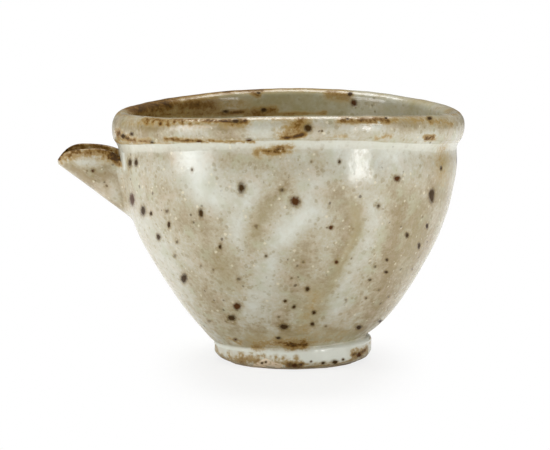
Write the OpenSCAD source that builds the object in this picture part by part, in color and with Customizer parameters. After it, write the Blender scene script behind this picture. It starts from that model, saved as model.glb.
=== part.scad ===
// Katakuchi sake pourer: a thrown stoneware bowl with a rolled rim, a turned foot ring
// and a beak spout luted over a pour hole. Millimetres, +Z up, the spout points along -X.
// The origin is on the bowl's axis, in the plane that the foot stands on.

/* [Bowl] */
// Outer diameter of the bowl's shoulder
shoulder_d = 107; // [90:1:130]
// Height of the shoulder, where the side turns upright
shoulder_h = 66; // [55:1:85]
// Height of the upright collar above the shoulder, up to the wall's own top edge
collar_h = 11.5; // [10:0.5:16]
// How full the side is between base and shoulder: 1 is a straight cone
swell = 1.95; // [1.5:0.05:2.4]
// How far the side stands out over the foot, where turning stopped, before it draws in again
hip = 0.65; // [0:0.05:1]
// Thickness of the wall, square to its surface
wall = 4; // [3:0.25:5]
// Thickness of the floor over the foot
floor_t = 5; // [4:0.5:8]
// Height over which the floor curves up into the wall
floor_curve_h = 7; // [5:0.5:10]

/* [Rolled rim] */
// How far the roll stands out past the collar
roll_out = 2.5; // [1.5:0.25:4]
// Height over which the crest rounds down into the mouth
lip_h = 2.4; // [1.6:0.1:2.5]
// Mean height of the crest above the wall's own top edge
crest_rise = 4; // [3:0.25:6]
// How far the crest rises at front and back, and dips over the spout and opposite it
crest_wave = 1.4; // [0:0.1:2]
// Mean height of the roll, from crest to lower edge
roll_h = 8.5; // [7:0.25:10]
// How much taller the roll is over the spout and opposite it than its mean
roll_wave = 1.5; // [0:0.1:2]
// How soon the roll draws in below its widest point: 1 is a quarter round
roll_taper = 1.7; // [1:0.1:2.4]
// Width of the flat lower edge of the roll, out from the collar
roll_edge_w = 0.9; // [0.6:0.1:1.4]

/* [Foot ring] */
// Height of the foot ring
foot_h = 7; // [5:0.5:12]
// Outer diameter of the foot ring
foot_d = 50.4; // [44:0.2:62]
// Width of the flat that rests on the table
rest_w = 3.5; // [2.5:0.25:6]
// Width of the bevel round the ring's outer lower edge
bevel_w = 4.2; // [2:0.2:5]
// Height of that bevel
bevel_h = 3.2; // [2:0.2:4.5]
// How far the recess under the foot narrows from the rest up to the base
recess_taper = 1; // [0:0.25:2]
// How far the ring stands out past the bowl's base
foot_ledge = 1.2; // [0.8:0.1:2]
// How far the ring sits off the bowl's axis, away from the spout
foot_shift = 1.2; // [0:0.1:2]
// Radius that breaks the ring's upper outer edge
foot_edge_r = 1; // [0.5:0.1:1.5]

/* [Spout] */
// Reach of the tip past the shoulder
spout_reach = 19.8; // [14:0.1:28]
// Outer width of the spout where it meets the wall
spout_w = 20; // [17:0.5:26]
// Depth of the spout where it meets the wall, from edge to keel
spout_depth = 19.9; // [18:0.1:24]
// Gap between the rim's lower edge and the spout's edge, at the wall
spout_gap = 5.1; // [3.5:0.1:7]
// Thickness of the spout's clay
spout_wall = 3; // [2.5:0.25:3.5]
// How far the edge arches up between the wall and the tip
edge_arch = 3.1; // [1:0.1:5]
// How far the tip lies below the edge at the wall
tip_drop = 0.7; // [0:0.1:3]
// Width of the pouring tip
tip_w = 4; // [3:0.5:6]
// Thickness of the pouring tip
tip_t = 1; // [0.8:0.1:2]
// Depth of the gutter at the tip
tip_gutter = 0.4; // [0.3:0.1:1]
// Diameter of the pour hole through the wall behind the spout
pour_hole_d = 11; // [8:0.5:12]
// Drop of the pour hole's centre below the spout's edge
pour_hole_drop = 7; // [6.5:0.5:9]

/* [Lute and glaze] */
// Leg of the clay fillet that lutes the spout to the wall
lute_leg = 2.4; // [1.5:0.1:3.5]
// Height of the glaze that gathers under the rim
rim_pool_h = 2; // [1:0.1:3]
// Height of the glaze that gathers over the foot
foot_pool_h = 3; // [1.5:0.1:4]
// Clearance between curved faces that lie against each other
seat_gap = 0.05; // [0.03:0.01:0.15]

/* [Hidden] */

clay = [0.72, 0.68, 0.57];
edge_clay = [0.60, 0.48, 0.30];
glaze = [0.80, 0.80, 0.75];

shoulder_r = shoulder_d / 2;
wall_top = shoulder_h + collar_h;
floor_z = foot_h + floor_t;
mouth_r = shoulder_r - wall;
foot_r = foot_d / 2;
base_r = foot_r - foot_ledge;
rest_outer_r = foot_r - bevel_w;
rest_inner_r = rest_outer_r - rest_w;

lathe_fn = 144;
side_steps = 26;
floor_steps = 12;
ring_steps = 90;
quarter_steps = 5;

// Chords of a faceted ring cut inside its circle, so a ring that wraps the collar is drawn this much wider.
collar_seat_r = (shoulder_r + seat_gap) / cos(180 / ring_steps);

// The bowl's side

// Share of the way up from base to shoulder, kept within 0 and 1
function side_share(z) = max(0, min(1, (z - foot_h) / (shoulder_h - foot_h)));

// The hip: one damped wave up the side
hip_turn = 680;
function hip_out(share) = hip * sin(hip_turn * share) * pow(1 - share, 2);

// Outer radius at height z
function bowl_r(z) =
    shoulder_r - (shoulder_r - base_r) * pow(1 - side_share(z), swell) + hip_out(side_share(z));

// How fast that radius grows with height, but for the hip
function bowl_slope(z) =
    (shoulder_r - base_r) * swell / (shoulder_h - foot_h) * pow(1 - side_share(z), swell - 1);

// Inner radius at height z: the wall's thickness is measured square to its outer face
function inner_r(z) = bowl_r(z) - wall * sqrt(1 + pow(bowl_slope(z), 2));

// Power of the floor's curve that lets it run into the wall with no kink
floor_end_z = floor_z + floor_curve_h;
floor_end_r = inner_r(floor_end_z);
floor_power = floor_end_r / (bowl_slope(floor_end_z) * floor_curve_h);

function bowl_outline() = concat(
    [[0, foot_h]],
    [for (i = [0 : side_steps])
        let (z = foot_h + (shoulder_h - foot_h) * i / side_steps)
        [bowl_r(z), z]],
    [[shoulder_r, wall_top], [mouth_r, wall_top]],
    [for (i = [side_steps : -1 : 0])
        let (z = floor_end_z + (shoulder_h - floor_end_z) * i / side_steps)
        [inner_r(z), z]],
    [for (i = [floor_steps - 1 : -1 : 0])
        let (share = i / floor_steps)
        [floor_end_r * share, floor_z + floor_curve_h * pow(share, floor_power)]]
);

module bowl() {
    color(clay)
    difference() {
        rotate_extrude($fn = lathe_fn) polygon(bowl_outline());
        translate([-shoulder_r - wall, 0, pour_hole_z])
            rotate([0, 90, 0])
            cylinder(d = pour_hole_d, h = 4 * wall, $fn = 64);
    }
}

// Rings that follow the bowl, drawn as one section at each step round it

function ring_angle(i) = 360 * i / ring_steps;

// A section's points, in radius and height, turned to angle a
function turned(section, a) = [for (p = section) [p[0] * cos(a), p[0] * sin(a), p[1]]];

// Two triangles for the patch between points j and j + 1 of two neighbouring sections
function patch(a, b, c, d) = [[a, b, c], [a, c, d]];

function skin(rows, points, closed) = [
    for (i = [0 : rows - (closed ? 1 : 2)], j = [0 : points - 1])
        let (below = i * points, above = ((i + 1) % rows) * points, k = (j + 1) % points)
        for (face = patch(below + j, above + j, above + k, below + k)) face
];

module ring(sections) {
    points = [for (s = sections) for (p = s) p];
    polyhedron(points, skin(len(sections), len(sections[0]), true));
}

// The rolled rim

function crest_z(a) = wall_top + crest_rise - crest_wave * cos(2 * a);
function roll_low_z(a) = crest_z(a) - roll_h - roll_wave * cos(2 * a);

// Height of the roll's widest point, a little nearer the crest than the lower edge
belly_share = 0.45;
function belly_z(a) = crest_z(a) - belly_share * (crest_z(a) - roll_low_z(a));

belly_r = shoulder_r + roll_out;
crest_r = (mouth_r + belly_r) / 2;
roll_edge_r = collar_seat_r + roll_edge_w;

function quarter(i) = 90 * i / quarter_steps;

function rim_section(a) = concat(
    [[collar_seat_r, roll_low_z(a)], [collar_seat_r, wall_top], [mouth_r, wall_top]],
    [for (i = [0 : quarter_steps])
        [crest_r - (crest_r - mouth_r) * cos(quarter(i)),
         crest_z(a) - lip_h * (1 - sin(quarter(i)))]],
    [for (i = [1 : quarter_steps])
        [crest_r + (belly_r - crest_r) * sin(quarter(i)),
         belly_z(a) + (crest_z(a) - belly_z(a)) * cos(quarter(i))]],
    [for (i = [1 : quarter_steps])
        [roll_edge_r + (belly_r - roll_edge_r) * pow(cos(quarter(i)), roll_taper),
         belly_z(a) - (belly_z(a) - roll_low_z(a)) * sin(quarter(i))]]
);

module rolled_rim() {
    color(clay)
    ring([for (i = [0 : ring_steps - 1]) turned(rim_section(ring_angle(i)), ring_angle(i))]);
}

// Glaze gathered under the roll's lower edge, with a hollow face
function rim_pool_section(a) =
    let (top_z = roll_low_z(a) - seat_gap)
    concat(
        [[collar_seat_r, top_z - rim_pool_h], [collar_seat_r, top_z]],
        [for (i = [0 : quarter_steps - 1])
            [roll_edge_r - (roll_edge_r - collar_seat_r) * sin(quarter(i)),
             top_z - rim_pool_h * (1 - cos(quarter(i)))]]
    );

module rim_glaze_pool() {
    color(glaze)
    ring([for (i = [0 : ring_steps - 1]) turned(rim_pool_section(ring_angle(i)), ring_angle(i))]);
}

// The foot ring

module foot_section() {
    difference() {
        polygon([
            [rest_inner_r, 0],
            [rest_outer_r, 0],
            [foot_r, bevel_h],
            [foot_r, foot_h],
            [rest_inner_r - recess_taper, foot_h]
        ]);
        translate([foot_r - foot_edge_r, foot_h - foot_edge_r])
        difference() {
            square(2 * foot_edge_r);
            circle(r = foot_edge_r, $fn = 32);
        }
    }
}

module foot_ring() {
    color(edge_clay)
    translate([foot_shift, 0, 0])
    rotate_extrude($fn = lathe_fn)
    foot_section();
}

// Distance from the foot's axis, along angle a, to a circle of radius r round the bowl's axis
function from_foot_axis(r, a) = sqrt(pow(r, 2) - pow(foot_shift * sin(a), 2)) - foot_shift * cos(a);

// Glaze gathered over the foot: its face hollows from the bowl's side to the ring's rounded edge
function foot_pool_section(a) =
    let (seat_z = foot_h + seat_gap)
    let (edge_r = max(foot_r - foot_edge_r, from_foot_axis(base_r, a) + 2 * foot_edge_r * seat_gap))
    let (top_r = from_foot_axis(bowl_r(seat_z + foot_pool_h), a))
    let (mid_r = from_foot_axis(bowl_r(seat_z + foot_pool_h / 2), a))
    let (root_r = from_foot_axis(bowl_r(seat_z), a))
    let (open = seat_gap / cos(180 / ring_steps))
    [
        [root_r + open, seat_z],
        [mid_r + open, seat_z + foot_pool_h / 2],
        [top_r + open, seat_z + foot_pool_h],
        [top_r + 2 * open, seat_z + foot_pool_h],
        [max(mid_r + 3 * open, (top_r + edge_r) / 2 - open), seat_z + foot_pool_h / 2],
        [max(root_r + 3 * open, edge_r), seat_z]
    ];

module foot_glaze_pool() {
    color(glaze)
    translate([foot_shift, 0, 0])
    ring([for (i = [0 : ring_steps - 1]) turned(foot_pool_section(ring_angle(i)), ring_angle(i))]);
}

// The spout: a beak whose sections run in straight lines from the wall to the tip

spout_steps = 16;
gutter_steps = 18;
tip_r = shoulder_r + spout_reach;

// The edge's arch: how full it is, and how far it leans from the wall towards the tip
arch_fullness = 3.5;
arch_lean = 1.15;

spout_edge_z = roll_low_z(180) - spout_gap;
keel_root_z = spout_edge_z - spout_depth;
tip_edge_z = spout_edge_z - tip_drop;
pour_hole_z = spout_edge_z - pour_hole_drop;

// Height of the edge and of the keel, at share u of the way from the wall to the tip
function edge_z(u) =
    spout_edge_z + edge_arch * (1 - pow(abs(2 * pow(u, arch_lean) - 1), arch_fullness)) - tip_drop * u * u;
function keel_z(u) = keel_root_z * (1 - u) + (tip_edge_z - tip_t - tip_gutter) * u;

// Half the outer width at share u: an ellipse in plan, blunt at the tip
function spout_half_w(u) = spout_w / 2 * sqrt(1 - u * u) + tip_w / 2 * u * u;

// The clay thins towards the tip, where the gutter's floor comes up to the edge
function clay_t(u) = spout_wall * (1 - u) + tip_t * u;

// A point of the bowl's outer face on the spout's side, at width y and height z
function wall_x(y, z) = -sqrt(pow(bowl_r(z), 2) - y * y) - seat_gap;

// A gutter point: side angle t runs from the near edge round the keel to the far edge.
// Half width w and depth d shape the section; root_w and root_d are the same sizes at the wall.
function gutter_point(u, t, w, d, root_w, root_d) =
    let (root_x = wall_x(-root_w * cos(t), spout_edge_z - root_d * sin(t)))
    [root_x * (1 - u) - tip_r * u, -w * cos(t), edge_z(u) - d * sin(t)];

root_half_w = spout_half_w(0);
function outer_point(u, t) =
    gutter_point(u, t, spout_half_w(u), edge_z(u) - keel_z(u), root_half_w, spout_depth);
function inner_point(u, t) =
    gutter_point(u, t, spout_half_w(u) - clay_t(u) * (1 - u / 2), edge_z(u) - keel_z(u) - clay_t(u),
        root_half_w - spout_wall, spout_depth - spout_wall);

// The edge is rounded: one raised point stands between its outer and inner corners
edge_round = 0.7;
function lip_point(u, t) = (outer_point(u, t) + inner_point(u, t)) / 2 + [0, 0, edge_round * (1 - u / 2)];

function side_angle(j) = 180 * j / gutter_steps;
function spout_section(u) = concat(
    [for (j = [0 : gutter_steps]) outer_point(u, side_angle(j))],
    [lip_point(u, 180)],
    [for (j = [gutter_steps : -1 : 0]) inner_point(u, side_angle(j))],
    [lip_point(u, 0)]
);

// Closes the end of a gutter: strips between outer and inner sides, and a triangle at each lip
function gutter_cap(first, flip) =
    let (last_inner = first + 2 * gutter_steps + 2, lip_far = first + gutter_steps + 1)
    let (faces = concat(
        [for (j = [0 : gutter_steps - 1])
            for (face = patch(first + j, first + j + 1, last_inner - j - 1, last_inner - j)) face],
        [[first + gutter_steps, lip_far, lip_far + 1], [first, last_inner, last_inner + 1]]))
    [for (f = faces) flip ? [f[2], f[1], f[0]] : f];

module spout() {
    sections = [for (i = [0 : spout_steps]) spout_section(sin(90 * i / spout_steps))];
    rows = len(sections);
    size = len(sections[0]);
    color(clay)
    polyhedron(
        [for (s = sections) for (p = s) p],
        concat(skin(rows, size, false), gutter_cap(0, false), gutter_cap((rows - 1) * size, true))
    );
}

// The lute: a hollow-faced fillet of clay round the spout's root, from one edge round the keel to the other

// Share of the spout's length that the fillet covers
lute_share = lute_leg / spout_reach;

// A point on the wall, one fillet leg out from the spout's root
function lute_wall_point(t, leg) =
    let (y = -(root_half_w + leg) * cos(t), z = spout_edge_z - (spout_depth + leg) * sin(t))
    [wall_x(y, z), y, z];

// A point on the spout's outer face, clear of it by the seat gap
function lute_spout_point(t, u) = outer_point(u, t) + seat_gap * [0, -cos(t), -sin(t)];

// The hollow face leaves the wall and meets the spout smoothly: a curve drawn towards the corner between them
lute_steps = 6;
function lute_face(wall_end, corner, spout_end, i) =
    let (v = i / lute_steps)
    (1 - v) * (1 - v) * wall_end + 2 * v * (1 - v) * corner + v * v * spout_end;

function lute_section(t) =
    let (corner = lute_spout_point(t, 0))
    let (wall_end = lute_wall_point(t, lute_leg), spout_end = lute_spout_point(t, lute_share))
    concat([corner], [for (i = [0 : lute_steps]) lute_face(wall_end, corner, spout_end, i)]);

// Closes an end of the lute with triangles that fan out from its corner
function lute_cap(first, flip) = [
    for (i = [1 : lute_steps])
        flip ? [first, first + i + 1, first + i] : [first, first + i, first + i + 1]
];

module spout_lute() {
    sections = [for (j = [0 : gutter_steps]) lute_section(side_angle(j))];
    rows = len(sections);
    size = len(sections[0]);
    color(clay)
    polyhedron(
        [for (section = sections) for (p = section) p],
        concat(skin(rows, size, false), lute_cap(0, false), lute_cap((rows - 1) * size, true))
    );
}

bowl();
rolled_rim();
foot_ring();
spout();
spout_lute();
rim_glaze_pool();
foot_glaze_pool();
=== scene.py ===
import math

import bmesh
import bpy
import numpy as np
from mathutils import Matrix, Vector, noise


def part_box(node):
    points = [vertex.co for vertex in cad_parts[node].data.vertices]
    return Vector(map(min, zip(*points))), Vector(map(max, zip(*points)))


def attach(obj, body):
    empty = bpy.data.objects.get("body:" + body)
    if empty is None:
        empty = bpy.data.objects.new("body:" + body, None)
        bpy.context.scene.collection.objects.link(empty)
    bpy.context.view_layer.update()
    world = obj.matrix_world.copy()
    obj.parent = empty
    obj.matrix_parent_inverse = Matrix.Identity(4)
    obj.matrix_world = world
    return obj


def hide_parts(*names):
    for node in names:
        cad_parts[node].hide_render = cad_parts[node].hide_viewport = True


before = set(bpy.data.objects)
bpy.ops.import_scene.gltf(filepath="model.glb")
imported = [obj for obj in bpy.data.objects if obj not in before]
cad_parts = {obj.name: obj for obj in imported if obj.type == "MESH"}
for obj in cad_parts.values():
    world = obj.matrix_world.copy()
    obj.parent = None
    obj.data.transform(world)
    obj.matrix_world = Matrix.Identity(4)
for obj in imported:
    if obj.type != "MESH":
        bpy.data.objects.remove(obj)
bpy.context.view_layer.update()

# A hand-thrown pouring bowl. Forms are worked out in millimetres and become metres when a mesh is made.
MM = 0.001
SEED = 11


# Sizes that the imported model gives

def node_box(node):
    low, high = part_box(node)
    return np.array(low) / MM, np.array(high) / MM


_, bowl_high = node_box("bowl")
_, rim_high = node_box("rolled_rim")
foot_low, foot_high = node_box("foot_ring")
spout_low, spout_high = node_box("spout")

SHOULDER_R = bowl_high[0]
WALL_TOP = bowl_high[2]
FOOT_H = foot_high[2]
FOOT_R = (foot_high[0] - foot_low[0]) / 2
FOOT_SHIFT = (foot_high[0] + foot_low[0]) / 2
BELLY_R = rim_high[0]
CREST_TOP = rim_high[2]
SPOUT_TIP_R = -spout_low[0]
SPOUT_HALF_W = spout_high[1]

# Sizes that it doesn't give, as in the part's source

SHOULDER_H = 66.0
SWELL = 1.95
HIP = 0.65
HIP_TURN = math.radians(680)
WALL = 4.0
FLOOR_T = 5.0
FLOOR_CURVE_H = 7.0
FOOT_LEDGE = 1.2
FOOT_TOP_ROUND = 1.0
BEVEL_W = 4.2
BEVEL_H = 3.2
REST_W = 3.5
CREST_WAVE = 1.4
ROLL_H = 8.5
ROLL_WAVE = 1.5
ROLL_TAPER = 1.7
ROLL_EDGE_W = 0.9
BELLY_SHARE = 0.45
LIP_H = 2.4
SPOUT_GAP = 5.1
SPOUT_DEPTH = 19.9
SPOUT_WALL = 3.0
EDGE_ARCH = 3.1
ARCH_FULLNESS = 3.5
ARCH_LEAN = 1.15
TIP_DROP = 0.7
TIP_HALF_W = 2.0
TIP_T = 1.0
TIP_GUTTER = 0.4
POUR_HOLE_R = 5.5
POUR_HOLE_DROP = 7.0
SEAT = 0.05

# Sizes that follow from them

BASE_R = FOOT_R - FOOT_LEDGE
FLOOR_Z = FOOT_H + FLOOR_T
REST_OUTER_R = FOOT_R - BEVEL_W
REST_INNER_R = REST_OUTER_R - REST_W
MOUTH_R = SHOULDER_R - WALL
COLLAR_R = SHOULDER_R + SEAT
CREST_MEAN = CREST_TOP - CREST_WAVE
CREST_R = (MOUTH_R + BELLY_R) / 2

# The photograph's frame, and the camera that sees the model as it does

PHOTO_W, PHOTO_H = 550, 450
CAMERA_AT = np.array([0.0, -950.0, 155.8])
CAMERA_AIM = np.array([-4.35, 0.0, 43.3])
FOCAL_PX = 2991.0


# Helpers for smooth change

def fade(x, low, high):
    """0 up to low, 1 from high on, smooth between. Low may be the larger of the two."""
    t = np.clip((x - low) / (high - low), 0, 1)
    return t * t * (3 - 2 * t)


def bump_at(x, middle, width):
    return np.exp(-((x - middle) / width) ** 2)


def angle_from(a, degrees):
    """Signed angle, in degrees, from a named direction round the bowl."""
    return (np.degrees(a) - degrees + 180) % 360 - 180


def rises(a, places):
    """The sum of soft rises round the bowl, each a height, a direction and a width in degrees."""
    return sum(height * bump_at(angle_from(a, degrees), 0, width) for height, degrees, width in places)


def wobble(points, size, seed):
    """Smooth noise between -1 and 1 at each point, with lumps of about the given size."""
    shift = Vector((17.3 * seed, 5.1 * seed, 9.7 * seed))
    return np.array([noise.noise(Vector(p) / size + shift) for p in points])


def wobbles(points, *parts):
    """A sum of smooth noises, each an amount, a size of lump and a seed."""
    return sum(amount * wobble(points, size, seed) for amount, size, seed in parts)


def lumps(angles, *parts):
    """The same round the shoulder, as a column with one row for each angle."""
    ring = SHOULDER_R * np.stack([np.cos(angles), np.sin(angles), 0 * angles], axis=1)
    return wobbles(ring, *parts)[:, None]


# The bowl's form. Angles start at +X and turn to the back: the spout is at 180 degrees, the camera at 270.

def side_share(z):
    return np.clip((z - FOOT_H) / (SHOULDER_H - FOOT_H), 0, 1)


def bowl_r(z):
    """Outer radius of the bowl at height z."""
    s = side_share(z)
    swell = SHOULDER_R - (SHOULDER_R - BASE_R) * (1 - s) ** SWELL
    return swell + HIP * np.sin(HIP_TURN * s) * (1 - s) ** 2


def bowl_slope(z):
    s = side_share(z)
    return (SHOULDER_R - BASE_R) * SWELL / (SHOULDER_H - FOOT_H) * (1 - s) ** (SWELL - 1)


def inner_r(z):
    return bowl_r(z) - WALL * np.sqrt(1 + bowl_slope(z) ** 2)


def crest_z(a):
    return CREST_MEAN - CREST_WAVE * np.cos(2 * a)


def roll_low_z(a):
    return crest_z(a) - ROLL_H - ROLL_WAVE * np.cos(2 * a)


# What the potter's hands leave: how far out or up, in which direction and over how many degrees

TWO_SIDED, THREE_SIDED = 0.22, 0.12
RIDGE_OUT, RIDGE_RUN = 0.05, 1.9
SHOULDER_OUT = 0.2
LOW_RIGHT_OUT = [(0.8, 0, 45)]
OVER_SPOUT_OUT = [(0.8, 180, 40)]
RIM_RISES = [(-0.75, 236, 30), (0.65, 72, 45)]
FOOT_LEAN = 0.030


def by_hand(p):
    """Moves points as hands do: out of round, ridged, uneven at the rim, leaning at the foot."""
    x, y, z = np.array(p, float).T
    a, r = np.arctan2(y, x), np.hypot(x, y)
    ridges = np.sin(z / RIDGE_RUN + 1.4 * np.sin(a + 0.6)) * bump_at(z, 46, 26)
    out = TWO_SIDED * np.sin(2 * a) + THREE_SIDED * np.sin(3 * a) + RIDGE_OUT * ridges
    out = out * fade(z, 4, 30) + SHOULDER_OUT * bump_at(z, 63, 5)
    out = out + rises(a, LOW_RIGHT_OUT) * bump_at(z, 22, 14) + rises(a, OVER_SPOUT_OUT) * bump_at(z, 70, 5)
    up = rises(a, RIM_RISES) * fade(z, 74, 82)
    up = up + FOOT_LEAN * x * bump_at(z, 7.5, 3.0) * fade(r, 14, 20)
    scale = 1 + out / np.maximum(r, 1)
    return np.stack([x * scale, y * scale, z + up], axis=1)


# Meshes from rows of points

class Piece:
    """A closed mesh in millimetres, with the glaze masks that its form gives."""

    def __init__(self, name, points, faces, **masks):
        self.name = name
        self.points = by_hand(points)
        self.faces = faces
        self.masks = {key: np.array(value, float) for key, value in masks.items()}

    def mask(self, key):
        return self.masks.get(key, np.zeros(len(self.points)))


def skin(rows, size, wrap_rows):
    """Quads between neighbouring rows, each a closed loop of the given size."""
    i = np.arange(rows if wrap_rows else rows - 1)[:, None]
    j = np.arange(size)[None, :]
    below, above, after = i * size, ((i + 1) % rows) * size, (j + 1) % size
    quads = np.stack([below + j, above + j, above + after, below + after], axis=-1)
    return quads.reshape(-1, 4)


def turned(r, z, angles):
    """Points of a section whose radii and heights have one row for each angle."""
    c, s = np.cos(angles)[:, None], np.sin(angles)[:, None]
    return np.stack([r * c, r * s, z + 0 * r], axis=-1)


def ring_piece(name, angles, r, z, middle_x=0.0, **masks):
    """A piece that closes on itself round the bowl."""
    points = turned(r, z, angles)
    points[..., 0] += middle_x
    n, m = points.shape[:2]
    flat = {key: np.broadcast_to(value, (n, m)).reshape(-1) for key, value in masks.items()}
    return Piece(name, points.reshape(-1, 3), skin(n, m, True).tolist(), **flat)


def capped_piece(name, rows, **masks):
    """A piece skinned over a run of closed loops, with both ends shut."""
    n, m = rows.shape[:2]
    faces = skin(n, m, False).tolist()
    faces += [list(range(m - 1, -1, -1)), list(range((n - 1) * m, n * m))]
    return Piece(name, rows.reshape(-1, 3), faces, **masks)


def joined(section):
    """Radii and heights of a section's stretches, put end to end."""
    return [np.concatenate(columns, axis=1) for columns in zip(*section)]


def angles_round(count):
    return np.linspace(0, 2 * np.pi, count, endpoint=False)


def quarter(count):
    """Angles of a quarter turn, without the first."""
    return np.linspace(0, np.pi / 2, count + 1)[1:]


def bezier(points, count):
    """A curve over four columns of control values, one row for each angle."""
    t = np.linspace(0, 1, count)[None, :]
    a, b, c, d = points
    return a * (1 - t) ** 3 + b * 3 * t * (1 - t) ** 2 + c * 3 * t ** 2 * (1 - t) + d * t ** 3


# The bowl. Its skins are grids of columns round and rows up, and the pour hole goes through two of them.

SPOUT_EDGE_Z = roll_low_z(math.pi) - SPOUT_GAP
POUR_HOLE_Z = SPOUT_EDGE_Z - POUR_HOLE_DROP
BOWL_COLUMNS = 720
SIDE_ROWS, COLLAR_ROWS = 124, 24
INSIDE_ROWS, INSIDE_COLLAR_ROWS = 56, 20
BASE_ROWS, FLOOR_ROWS = 8, 20
SPOUT_COLUMN = BOWL_COLUMNS // 2
HOLE_CELLS = 8
HOLE_REACH = 2.6


def open_pour_hole(points, row):
    """Bends a grid so that a square block of its cells becomes round, about the X axis."""
    rows, columns = np.indices(points.shape[:2])
    across, up = (columns - SPOUT_COLUMN) / HOLE_CELLS, (rows - row) / HOLE_CELLS
    ring = np.maximum(np.abs(across), np.abs(up))
    length = np.maximum(np.hypot(across, up), 1e-6)
    rising = 1 if points[-1, 0, 2] > points[0, 0, 2] else -1
    keep = fade(ring, 1, HOLE_REACH)
    to_round = (1 - keep) * POUR_HOLE_R * ring / length
    y = points[..., 1] * keep - to_round * across
    z = (points[..., 2] - POUR_HOLE_Z) * keep + rising * to_round * up + POUR_HOLE_Z
    heights, radii = points[::rising, SPOUT_COLUMN, 2], -points[::rising, SPOUT_COLUMN, 0]
    x = -np.sqrt(np.maximum(np.interp(z, heights, radii) ** 2 - y ** 2, 0))
    near = (ring <= HOLE_REACH)[..., None]
    return np.where(near, np.stack([x, y, z], axis=-1), points)


def hole_edge(first, row, rising):
    """Vertex numbers round the hole, in the same turn for a grid that runs up and one that runs down."""
    h = HOLE_CELLS
    path = [(-h, k) for k in range(-h, h)] + [(k, h) for k in range(-h, h)]
    path += [(h, -k) for k in range(-h, h)] + [(-k, -h) for k in range(-h, h)]
    return [first + (row + rising * i) * BOWL_COLUMNS + SPOUT_COLUMN + j for i, j in path]


def two_stretches(ends, counts):
    """Heights over two even stretches that meet."""
    (start, middle, end), (first, second) = ends, counts
    return np.concatenate([np.linspace(start, middle, first), np.linspace(middle, end, second)[1:]])


def bowl_skins():
    """Radii and heights of the section: under the base, up the outside, down the inside, over the floor."""
    end_z = FLOOR_Z + FLOOR_CURVE_H
    end_r = inner_r(end_z)
    power = end_r / (bowl_slope(end_z) * FLOOR_CURVE_H)
    up = two_stretches((FOOT_H, SHOULDER_H, WALL_TOP), (SIDE_ROWS, COLLAR_ROWS))
    down = two_stretches((WALL_TOP, SHOULDER_H, end_z), (INSIDE_COLLAR_ROWS, INSIDE_ROWS))
    base = np.linspace(0, 1, BASE_ROWS)[1:-1]
    floor = np.linspace(1, 0, FLOOR_ROWS)[1:-1]
    return [
        ("base", BASE_R * base, np.full(len(base), FOOT_H)),
        ("outside", bowl_r(up), up),
        ("inside", inner_r(down), down),
        ("floor", end_r * floor, FLOOR_Z + FLOOR_CURVE_H * floor ** power),
    ]


def make_bowl():
    angles = angles_round(BOWL_COLUMNS)
    grids, outside, holes, first = [], [], [], 0
    for side, r, z in bowl_skins():
        grid = turned(np.tile(r, (BOWL_COLUMNS, 1)), z[None, :], angles).transpose(1, 0, 2)
        if side in ("outside", "inside"):
            row = int(np.argmin(np.abs(z - POUR_HOLE_Z)))
            grid = open_pour_hole(grid, row)
            holes.append((first, row, 1 if side == "outside" else -1))
        grids.append(grid)
        outside.append(np.full(grid.shape[:2], side in ("base", "outside")))
        first += len(r)
    rows = np.concatenate(grids)
    points = np.concatenate([rows.reshape(-1, 3), [[0, 0, FOOT_H], [0, 0, FLOOR_Z]]])
    outside = np.concatenate([np.concatenate(outside).reshape(-1), [True, False]])
    return drop_unused("bowl_body", points, bowl_faces(len(rows), holes), outside)


def bowl_faces(row_count, holes):
    """Quads of the skins and of the hole's wall, and fans that close the base and the floor."""
    in_hole = np.zeros((row_count - 1, BOWL_COLUMNS), bool)
    edges = []
    for first, row, rising in holes:
        middle = first + row
        rows = slice(middle - HOLE_CELLS, middle + HOLE_CELLS)
        in_hole[rows, SPOUT_COLUMN - HOLE_CELLS:SPOUT_COLUMN + HOLE_CELLS] = True
        edges.append(hole_edge(first * BOWL_COLUMNS, row, rising))
    faces = skin(row_count, BOWL_COLUMNS, False)[~in_hole.reshape(-1)].tolist()
    outer, inner = edges
    faces += [[outer[k - 1], outer[k], inner[k], inner[k - 1]] for k in range(len(outer))]
    last_row = (row_count - 1) * BOWL_COLUMNS
    under, floor = row_count * BOWL_COLUMNS, row_count * BOWL_COLUMNS + 1
    for j in range(BOWL_COLUMNS):
        after = (j + 1) % BOWL_COLUMNS
        faces += [[under, j, after], [floor, last_row + after, last_row + j]]
    return faces


def drop_unused(name, points, faces, outside):
    """The bowl without the points that the hole left over."""
    used = np.unique(np.concatenate([np.ravel(f) for f in faces]))
    number = np.full(len(points), -1)
    number[used] = np.arange(len(used))
    return Piece(name, points[used], [number[f].tolist() for f in faces], outside=outside[used])


# The rolled rim and the glaze gathered under it

RIM_STEPS = 720
ROLL_ROWS, MOUTH_ROWS = 14, 6
ROLL_EDGE_RISES = [(-0.75, 262, 38), (0.6, 0, 40), (0.4, 180, 30)]
CREST_WEAR = 0.1
POOL_LEAVES_ROLL = math.radians(52)
RIM_POOL_H = 2.6
RIM_POOL_BACK_ROWS, RIM_POOL_FACE_ROWS = 9, 16
GLAZE_GAP = 0.03


def roll_edge(a):
    """Height of the roll's lower edge, with the unevenness of a folded band."""
    return (roll_low_z(a) + rises(a, ROLL_EDGE_RISES))[:, None] + lumps(a, (0.25, 9, 2), (0.10, 3, 3))


def roll_heights(a):
    """Heights of the roll's crest, belly and lower edge."""
    low = roll_edge(a)
    crest = crest_z(a)[:, None] - CREST_WEAR + lumps(a, (0.18, 12, 4), (0.08, 4, 5))
    return crest, crest - BELLY_SHARE * (crest - low), low


def roll_belly_r(a):
    return BELLY_R + lumps(a, (0.18, 14, 6))


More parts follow.
